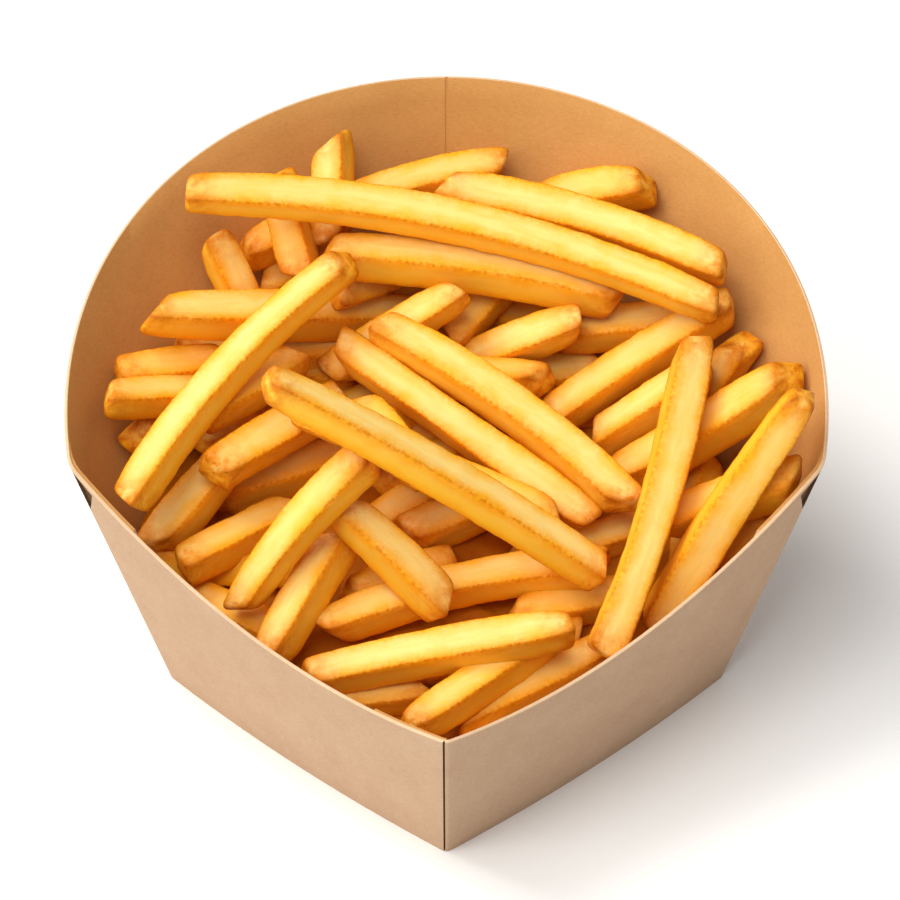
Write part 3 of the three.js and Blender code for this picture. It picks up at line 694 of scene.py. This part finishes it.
def bed_fries(centres, radii):
    """Cover the core with fries half sunk in it, wherever they clear the ones already laid."""
    numbers = draw_numbers(BED_SEED)
    radius = HIDDEN_WIDTH / 2
    bed = []
    shares = np.linspace(0, 1, HIDDEN_SAMPLES)
    for _ in range(BED_TRIES):
        heading = next(numbers) * math.pi
        length = lerp(*HIDDEN_LENGTHS, next(numbers))
        across = lerp(*HIDDEN_ACROSS, next(numbers))
        middle = np.array([across, lerp(*BED_DEPTHS, next(numbers)), 0.0])
        turn = next(numbers) * math.pi / 2
        reach = np.array([math.cos(heading), math.sin(heading), math.sin(heading) * CORE_SLOPE])
        reach *= length / 2
        middle[2] = core_top(middle[1]) + radius * BED_RISE
        points = middle + reach * (2 * shares - 1)[:, None]
        gaps = np.sqrt(((points[:, None, :] - centres) ** 2).sum(-1))
        if blocked(points, radius).any() or (gaps < (radius + radii) * BED_SHARE).any():
            continue
        bed.append(straight_fry(middle, reach, turn))
        centres, radii = with_fry(bed[-1], centres, radii)
    return bed


def lay_heap():
    """The laid and the hidden fries, and the bed of fries below them."""
    centres = np.zeros((0, 3))
    radii = np.zeros(0)
    laid = []
    for row in LAID_FRIES:
        laid.append(lay_fry(row, centres, radii))
        centres, radii = with_fry(laid[-1], centres, radii)
    hidden, centres, radii = hide_fries(centres, radii)
    return laid + hidden, bed_fries(centres, radii)


SECTION_POINTS = 32
CORNER_GATHER = 0.15  # how much the section's points gather at its corners
SQUARENESS = 8.5  # power of the superellipse that a fry's section follows
RING_SPACING = 1.4
END_PROFILE = ((0.0, 0.62), (0.2, 0.79), (0.6, 0.91), (1.2, 0.975), (2.4, 1.0))
HEIGHT_SHARE = 0.97  # a fry's height, as a share of its width
TWIST = 0.22  # most turn in radians from one end to the other
WIDTH_TAPER = 0.18  # most difference in width between the ends, as a share
WIDTH_WAVE = 0.05
WIDTH_WAVE_LENGTH = 13  # millimetres for each radian of the wave
SIDE_WAVE = 0.03
SIDE_WAVE_TURNS = 9  # radians of it on one fry
SLANT_REACH = 5.5  # how far from an end its slant and its taper fade out
SLANT_INSET = 0.3  # how far back the slants set an end, as a share of the width
END_SLANT = (0.15, 0.8)
END_TAPER = (0.0, 0.34)
SURFACE_RELIEF = 0.17
LUMP_SIZE = 2.6
BLISTER_SIZE = 1.1
BLISTER_SHARE = 0.5  # of the lumps' height
PATTERN_SHIFT = 31.7  # from one fry's lumps to the next one's
TIP_HEIGHT = 0.1
SHARE_STEP = 0.004  # to each side of a place, to find which way the path runs there
BROWN_END = 4.5  # how far from an end its browning fades out
# Painted shade: the hidden fries, the bed and the lowest laid fries get a browner tone for the shade
# deep in the heap.
DEEP_SHADE_TONE = 0.8  # of the hidden fries and the bed
TONE_SPREAD = 0.6
TONE_DEPTH_SHADE = 0.5  # how much darker the first laid fry is than the last
# Painted flank shade at the tips of the ends.
TIP_FLANK_SHADE = 0.6
GRAIN_SHIFT = 90  # more than a fry's length, so that no two share a stretch of grain
FIRST_SEED = 500


def unit(vectors):
    """The vectors at length 1."""
    return vectors / np.linalg.norm(vectors, axis=-1, keepdims=True)


def section_outline():
    """A square with rounded corners and half width 1: how far up and out its points lie."""
    angles = np.arange(SECTION_POINTS) * 2 * math.pi / SECTION_POINTS
    angles = angles + CORNER_GATHER * np.sin(4 * angles)
    cosine = np.cos(angles)
    sine = np.sin(angles)
    reach = (abs(cosine) ** SQUARENESS + abs(sine) ** SQUARENESS) ** (-1 / SQUARENESS)
    return cosine * reach, sine * reach


SECTION_UP, SECTION_OUT = section_outline()


def ring_places(length):
    """Distances of a fry's rings from its first end, which crowd together at both ends."""
    rounded = [place for place, _ in END_PROFILE[:-1]]
    full = END_PROFILE[-1][0]
    inner = np.linspace(full, length - full, max(3, round(length / RING_SPACING)))
    return np.concatenate([rounded, inner, [length - place for place in reversed(rounded)]])


def fry_axes(fry, shares, draws):
    """The directions along a fry, to its top face and to its side, at each ring."""
    travel = unit(fry.at(shares + SHARE_STEP) - fry.at(shares - SHARE_STEP))
    to_eye = EYE - fry.at(shares)
    to_eye = unit(to_eye - travel * (to_eye * travel).sum(1)[:, None])
    aside = np.cross(travel, to_eye)
    if aside.mean(0) @ UPPER_LEFT < 0:
        aside = -aside
    twist = fry.turn + (shares - 0.5) * (draws.random() - 0.5) * TWIST
    top = to_eye * np.cos(twist)[:, None] + aside * np.sin(twist)[:, None]
    return travel, top, np.cross(travel, top)


def blister(points, away, number):
    """Raise and sink a fry's skin in lumps and smaller blisters."""
    relief = np.array([
        noise.noise(Vector(point) / LUMP_SIZE)
        + BLISTER_SHARE * noise.noise(Vector(point) / BLISTER_SIZE)
        for point in points.reshape(-1, 3) + number * PATTERN_SHIFT
    ]).reshape(points.shape[:2])
    return points + away * (relief * SURFACE_RELIEF)[..., None]


def keep_inside(points):
    """Press points that would touch the wall or the floor back to the clearance from them."""
    nearest = ((points[:, None, :] - WALL_POINTS) ** 2).sum(-1).argmin(1)
    normals = WALL_NORMALS[nearest]
    beyond = ((points - WALL_POINTS[nearest]) * normals).sum(1) + BOARD + CLEARANCE
    beyond = np.where(points[:, 2] < WALL_RIMS[nearest] + RIM_MARGIN, np.maximum(beyond, 0), 0)
    points = points - normals * beyond[:, None]
    points[:, 2] = np.maximum(points[:, 2], BOARD + CLEARANCE)
    return points


def skin_faces(rings):
    """Quads round a fry, and a fan to the tip at each end. The tips are the last two points."""
    faces = ring_faces(rings, SECTION_POINTS, closed=False)
    last = (rings - 1) * SECTION_POINTS
    tip = rings * SECTION_POINTS
    for i in range(SECTION_POINTS):
        beside = (i + 1) % SECTION_POINTS
        faces.append((tip, beside, i))
        faces.append((tip + 1, last + i, last + beside))
    return faces


def fry_tone_with_depth_shade(number, draws):
    """How brown a fry is: a random tone, plus painted shade that browns the laid ones from the
    highest down to the lowest. The hidden fries and the bed get one deep tone of painted shade.
    """
    if number >= len(LAID_FRIES):
        return DEEP_SHADE_TONE
    depth = 1 - number / len(LAID_FRIES)
    return draws.random() * TONE_SPREAD + TONE_DEPTH_SHADE * depth ** 1.5


def surface_values(number, places, length, ups, outs, tone):
    """What the crust's material reads at each point: nearness to a long edge and to an end, painted
    flank shade from 0 on the lit top face to 1 below, tone, and grain, a place measured along the
    fry."""
    rings = len(places)
    up = abs(SECTION_UP)
    out = abs(SECTION_OUT)
    # Painted shade: 0 on the top face, which is painted as lit, about 0.8 on the sides and 1 below.
    painted_flank_shade = np.where(out > up, 0.8 - 0.2 * SECTION_UP, np.where(SECTION_UP > 0, 0.0, 1.0))
    nearness = np.minimum(places, length - places)
    browning = np.exp(-(nearness / BROWN_END) ** 1.5)
    start = GRAIN_SHIFT * number
    along = np.repeat(places, SECTION_POINTS) + start
    grain = np.stack([along, ups.ravel(), outs.ravel()], -1)
    return {
        "edge": np.append(np.tile(np.minimum(up, out) / np.maximum(up, out), rings), [0, 0]),
        "end": np.append(np.repeat(browning, SECTION_POINTS), [1, 1]),
        "painted_flank_shade": np.append(np.tile(painted_flank_shade, rings), [TIP_FLANK_SHADE, TIP_FLANK_SHADE]),
        "tone": np.full(rings * SECTION_POINTS + 2, tone),
        "grain": np.vstack([grain, [start, 0, 0], [start + length, 0, 0]]),
    }


def fry_surface(fry, number, draws):
    """Points, faces and surface values of one fry."""
    length = np.linalg.norm(fry.at(1)[0] - fry.at(0)[0])
    places = ring_places(length)
    scales = np.interp(np.minimum(places, length - places), *zip(*END_PROFILE))
    shares = places / length
    travel, top, side = fry_axes(fry, shares, draws)

    phases = draws.random(4) * 2 * math.pi
    taper = 1 + (shares - 0.5) * (draws.random() - 0.5) * WIDTH_TAPER
    wave = taper * (1 + WIDTH_WAVE * np.sin(shares * length / WIDTH_WAVE_LENGTH + phases[0]))
    half = fry.width / 2 * scales * wave
    side_wave = 1 + SIDE_WAVE * np.sin(phases[1] + shares * SIDE_WAVE_TURNS)
    ups = SECTION_UP[None, :] * half[:, None] * HEIGHT_SHARE
    outs = SECTION_OUT[None, :] * half[:, None] * side_wave[:, None]
    recess = np.zeros(ups.shape)
    for gap, inward in ((places, 1), (length - places, -1)):
        fade = np.exp(-gap / SLANT_REACH)[:, None]
        aim = draws.random() * 2 * math.pi
        slant = lerp(*END_SLANT, draws.random())
        tilted = ups * math.cos(aim) + outs * math.sin(aim) + fry.width * SLANT_INSET
        recess += inward * slant * fade * tilted
        ups = ups * (1 - lerp(*END_TAPER, draws.random()) * fade)
        outs = outs * (1 - lerp(*END_TAPER, draws.random()) * fade)

    points = fry.at(shares)[:, None, :] + top[:, None, :] * ups[..., None]
    points = points + side[:, None, :] * outs[..., None]
    points = points + travel[:, None, :] * recess[..., None]
    away = unit(top[:, None, :] * SECTION_UP[None, :, None]
                + side[:, None, :] * SECTION_OUT[None, :, None])
    points = blister(points, away, number)
    tips = [points[0].mean(0) - travel[0] * TIP_HEIGHT, points[-1].mean(0) + travel[-1] * TIP_HEIGHT]
    points = keep_inside(np.vstack([points.reshape(-1, 3), tips]))
    values = surface_values(number, places, length, ups, outs, fry_tone_with_depth_shade(number, draws))
    return points, skin_faces(len(places)), values


def fried_potato():
    """Potato starch fried in oil: a thin blistered crust over pale translucent flesh. It is
    pale yellow to golden, orange-brown where thin edges took most heat, and shines a little."""
    material, tree = new_material("fried_potato_crust")
    place = add_node(tree, "ShaderNodeTexCoord").outputs["Object"]

    def value(name):
        return add_node(tree, "ShaderNodeAttribute", attribute_name=name).outputs["Fac"]

    def maths(operation, first, second):
        """Two numbers put together. A product is clamped to 0 to 1, because it is a factor."""
        return add_node(tree, "ShaderNodeMath", {0: first, 1: second}, operation=operation,
                        use_clamp=operation == "MULTIPLY").outputs[0]

    def lumps(size, detail, roughness=0.55, where=None):
        """Noise with features of a size in millimetres."""
        return add_node(tree, "ShaderNodeTexNoise", {
            "Vector": where or place, "Scale": 1 / size if where else per_metre(size),
            "Detail": detail, "Roughness": roughness}).outputs["Fac"]

    def spread(source, low, high, bottom=0.0, top=1.0):
        return add_node(tree, "ShaderNodeMapRange", {
            "Value": source, "From Min": low, "From Max": high, "To Min": bottom,
            "To Max": top}).outputs[0]

    def blend(factor, first, second):
        return add_node(tree, "ShaderNodeMix", {"Factor": factor, "A": first, "B": second},
                        data_type="RGBA").outputs["Result"]

    lengthwise = add_node(tree, "ShaderNodeAttribute", attribute_name="grain").outputs["Vector"]
    drawn_out = add_node(tree, "ShaderNodeMapping", {
        "Vector": lengthwise, "Scale": (0.13, 1.0, 1.0)}).outputs[0]
    streaks = lumps(1.7, 4, 0.6, drawn_out)
    patches = lumps(5, 3)
    blisters = lumps(0.8, 3, 0.6)
    edge = value("edge")
    end = value("end")

    wavering = maths("ADD", edge, spread(patches, 0.3, 0.7, -0.3, 0.3))
    toward_edge = spread(wavering, 0.2, 1.05)
    # Painted light: the top face takes the pale lit colours, the flanks the deeper shaded ones.
    face = blend(toward_edge, linear("#ffd982"), linear("#ffbe2a"))
    side = blend(toward_edge, linear("#ffc11c"), linear("#ffa90a"))
    flesh = blend(value("painted_flank_shade"), face, side)
    flesh = blend(spread(streaks, 0.45, 0.75, 0.0, 0.45), flesh, linear("#ffb820"))
    # The tone is random browning plus painted shade on the fries deep in the heap.
    flesh = blend(spread(value("tone"), 0.3, 1.0, 0.0, 0.6), flesh, linear("#fdb014"))
    border = maths("MULTIPLY", maths("POWER", edge, 2.6), spread(blisters, 0.34, 0.58, 0.35, 1.0))
    flesh = blend(maths("MULTIPLY", border, 0.95), flesh, linear("#f59a06"))
    line = maths("MULTIPLY", maths("POWER", edge, 10.0), spread(blisters, 0.4, 0.6, 0.1, 0.75))
    flesh = blend(line, flesh, linear("#d67c06"))
    tip = maths("MULTIPLY", end, spread(lumps(2.2, 3), 0.35, 0.62, 0.2, 1.0))
    flesh = blend(tip, flesh, linear("#e4880c"))
    rind = maths("MULTIPLY", maths("MULTIPLY", end, maths("POWER", edge, 2.0)), 0.9)
    flesh = blend(rind, flesh, linear("#b86008"))
    worn_edge = maths("MULTIPLY", maths("POWER", edge, 4.0), 0.6)
    worn = maths("MAXIMUM", maths("MULTIPLY", end, 0.7), worn_edge)
    spots = maths("MULTIPLY", worn, spread(lumps(0.8, 2), 0.58, 0.7))
    flesh = blend(maths("MULTIPLY", spots, 0.45), flesh, linear("#a8560a"))
    height = maths("ADD", maths("MULTIPLY", blisters, maths("ADD", worn, 0.08)),
                   maths("MULTIPLY", streaks, 0.4))
    bump = add_node(tree, "ShaderNodeBump", {
        "Height": height, "Strength": 0.7, "Distance": 0.5 * MM})
    shader = add_node(tree, "ShaderNodeBsdfPrincipled", {
        "Base Color": flesh, "Roughness": 0.42, "IOR": 1.42, "Specular IOR Level": 0.2,
        "Subsurface Weight": 0.3, "Subsurface Radius": (1.0, 0.5, 0.12),
        "Subsurface Scale": 1.4 * MM, "Normal": bump.outputs[0]})
    add_node(tree, "ShaderNodeOutputMaterial", {"Surface": shader.outputs[0]})
    return material


CRUST = fried_potato()


def make_fries(name, heap, first):
    """One object of many fries, each a closed skin."""
    points = []
    faces = []
    values = []
    base = 0
    for number, fry in enumerate(heap, first):
        draws = np.random.default_rng(FIRST_SEED + number)
        own_points, own_faces, own_values = fry_surface(fry, number, draws)
        points.append(own_points)
        faces += [tuple(base + v for v in face) for face in own_faces]
        values.append(own_values)
        base += len(own_points)
    piece = mesh_object(name, np.vstack(points), faces, [CRUST])
    for title in ("edge", "end", "painted_flank_shade", "tone"):
        layer = piece.data.attributes.new(title, "FLOAT", "POINT")
        column = np.concatenate([own[title] for own in values])
        layer.data.foreach_set("value", column.astype(np.float32))
    layer = piece.data.attributes.new("grain", "FLOAT_VECTOR", "POINT")
    grain = np.vstack([own["grain"] for own in values])
    layer.data.foreach_set("vector", grain.astype(np.float32).ravel())
    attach(piece, "root")
    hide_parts("fries")


heap, bed = lay_heap()
half_way = len(heap) // 2
make_fries("fries_lower", heap[:half_way], 0)
make_fries("fries_upper", heap[half_way:], half_way)
make_fries("fries_bed", bed, len(heap))

# ---- Core -------------------------------------------------------------------------------------
# The middle of the heap, where more fries lie in the dark. It is one solid that follows the wall,
# with a top as lumpy as fries, and it is as brown as they look down there.

CORE_INSET = 2.2  # from the wall's outer face
CORE_COLUMNS = 96
CORE_RINGS = 16
CORE_RELIEF = 2.2
CORE_LUMP = 6
RELIEF_SLICE = 3.1  # of the noise that makes the lumps
FIRST_GUESS = 0.3  # share of the wall's height where the core's shoulder is first looked for
GUESSES = 8


def make_core():
    """A foot and a shoulder along the wall, and rings from the shoulder to the middle."""
    foot = []
    shoulder = []
    for i in range(CORE_COLUMNS):
        turn = (i + 0.5) * 4 / CORE_COLUMNS
        up = FIRST_GUESS
        for _ in range(GUESSES):
            side = wall_point(turn, up, CORE_INSET)
            up *= core_top(side.y) / side.z
        foot.append(wall_point(turn, 0, CORE_INSET))
        foot[-1].z = BOARD + CLEARANCE
        shoulder.append(wall_point(turn, up, CORE_INSET))
    points = foot + shoulder
    for ring in range(1, CORE_RINGS):
        share = 1 - ring / CORE_RINGS
        for edge in shoulder:
            x = edge.x * share
            y = edge.y * share
            lump = noise.noise(Vector((x / CORE_LUMP, y / CORE_LUMP, RELIEF_SLICE)))
            lump *= CORE_RELIEF * min(1, ring / 2)
            points.append(Vector((x, y, core_top(y) + lump)))
    faces = ring_faces(CORE_RINGS + 1, CORE_COLUMNS)
    return mesh_object("heap_core", points, faces, [shaded_fries()])


def shaded_fries():
    """Fries deep in the heap, seen only through gaps: golden brown in their own shade, and matt
    because no light falls on them straight."""
    material, tree = new_material("fried_potato_in_shade")
    place = add_node(tree, "ShaderNodeTexCoord").outputs["Object"]
    patches = add_node(tree, "ShaderNodeTexNoise", {
        "Vector": place, "Scale": per_metre(7), "Detail": 3.0})
    tone = add_node(tree, "ShaderNodeMix", {
        "Factor": patches.outputs["Fac"], "A": linear("#9a4600"), "B": linear("#cc7c10")},
        data_type="RGBA")
    bump = add_node(tree, "ShaderNodeBump", {
        "Height": patches.outputs["Fac"], "Strength": 0.8, "Distance": 2 * MM})
    shader = add_node(tree, "ShaderNodeBsdfPrincipled", {
        "Base Color": tone.outputs["Result"], "Roughness": 0.65, "Specular IOR Level": 0.1,
        "Normal": bump.outputs[0]})
    add_node(tree, "ShaderNodeOutputMaterial", {"Surface": shader.outputs[0]})
    return material


core = make_core()
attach(core, "root")
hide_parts("fries")

# ---- Floor, light and camera ------------------------------------------------------------------
# A plain white floor under soft light, with the strongest from the upper left and two weaker ones
# that fill the shade. The camera looks from the front and above, from where the fries were laid.


def plain_white():
    """Matt white paint."""
    material, tree = new_material("matt_white")
    shader = add_node(tree, "ShaderNodeBsdfPrincipled", {
        "Base Color": linear("#fdfdfd"), "Roughness": 0.9})
    add_node(tree, "ShaderNodeOutputMaterial", {"Surface": shader.outputs[0]})
    return material


FLOOR_REACH = 3000
floor = mesh_object("floor", [(x * FLOOR_REACH, y * FLOOR_REACH, 0)
                              for x, y in ((-1, -1), (1, -1), (1, 1), (-1, 1))],
                    [(0, 1, 2, 3)], [plain_white()])

LIGHT_TARGET = Vector((0, 0.01, 0.04))  # in metres, in the middle of the fries


def soft_light(name, place, size, power, colour):
    """A square light, in metres and watts, that looks at the fries."""
    data = bpy.data.lights.new(name, "AREA")
    data.shape = "SQUARE"
    data.size = size
    data.energy = power
    data.color = linear(colour)[:3]
    light = bpy.data.objects.new(name, data)
    light.location = place
    light.rotation_euler = (LIGHT_TARGET - Vector(place)).to_track_quat("-Z", "Y").to_euler()
    bpy.context.collection.objects.link(light)


soft_light("key_light", (-0.65, 0.3, 1.2), 0.7, 11.4, "#fffaf2")
soft_light("upper_fill_light", (-0.3, -0.5, 1.3), 0.9, 10.0, "#fffdf8")
soft_light("left_fill_light", (-1.1, -0.6, 0.6), 0.8, 6.5, "#fffdf8")

WORLD_STRENGTH = 0.36
world = bpy.data.worlds.new("studio")
world.use_nodes = True
background = world.node_tree.nodes["Background"]
background.inputs["Color"].default_value = (1, 1, 1, 1)
background.inputs["Strength"].default_value = WORLD_STRENGTH
bpy.context.scene.world = world
bpy.context.scene.view_settings.view_transform = "Standard"

FOCAL_LENGTH = 190.1
SENSOR_WIDTH = 36
camera_data = bpy.data.cameras.new("camera")
camera_data.sensor_width = SENSOR_WIDTH
camera_data.lens = FOCAL_LENGTH
camera_data.clip_start = 10 * MM
camera = bpy.data.objects.new("camera", camera_data)
camera.location = EYE * MM
camera.rotation_euler = (math.pi / 2 - SIGHT_ELEVATION, 0, 0)
bpy.context.collection.objects.link(camera)
bpy.context.scene.camera = camera
